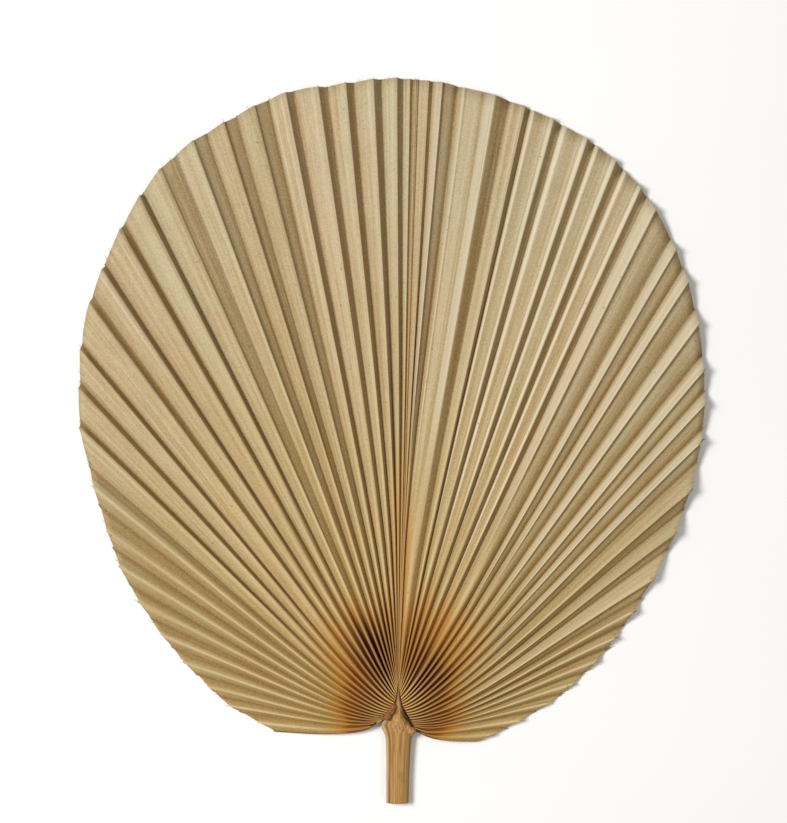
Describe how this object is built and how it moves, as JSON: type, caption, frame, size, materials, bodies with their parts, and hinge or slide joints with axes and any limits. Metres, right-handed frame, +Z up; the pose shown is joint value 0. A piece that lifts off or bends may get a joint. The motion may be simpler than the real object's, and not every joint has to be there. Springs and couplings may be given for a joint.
{
  "type": "fan palm leaf",
  "caption": "Dried fan palm leaf with a pleated, trimmed round blade on a short cut stalk, lying face up as a display or weaving leaf.",
  "frame": {"origin": "on the floor under the middle of the leaf's footprint", "axes": "+Z up, from the underside to the face of the leaf; +Y from the cut stalk to the far edge of the blade; +X to the right seen from above"},
  "size_m": [0.3988, 0.4632, 0.0125],
  "materials": {
    "blade": "matte",
    "petiole": "satin",
    "hastula": "matte"
  },
  "bodies": {
    "root": {"blade": "blade", "petiole": "petiole", "hastula": "hastula"}
  },
  "joints": []
}
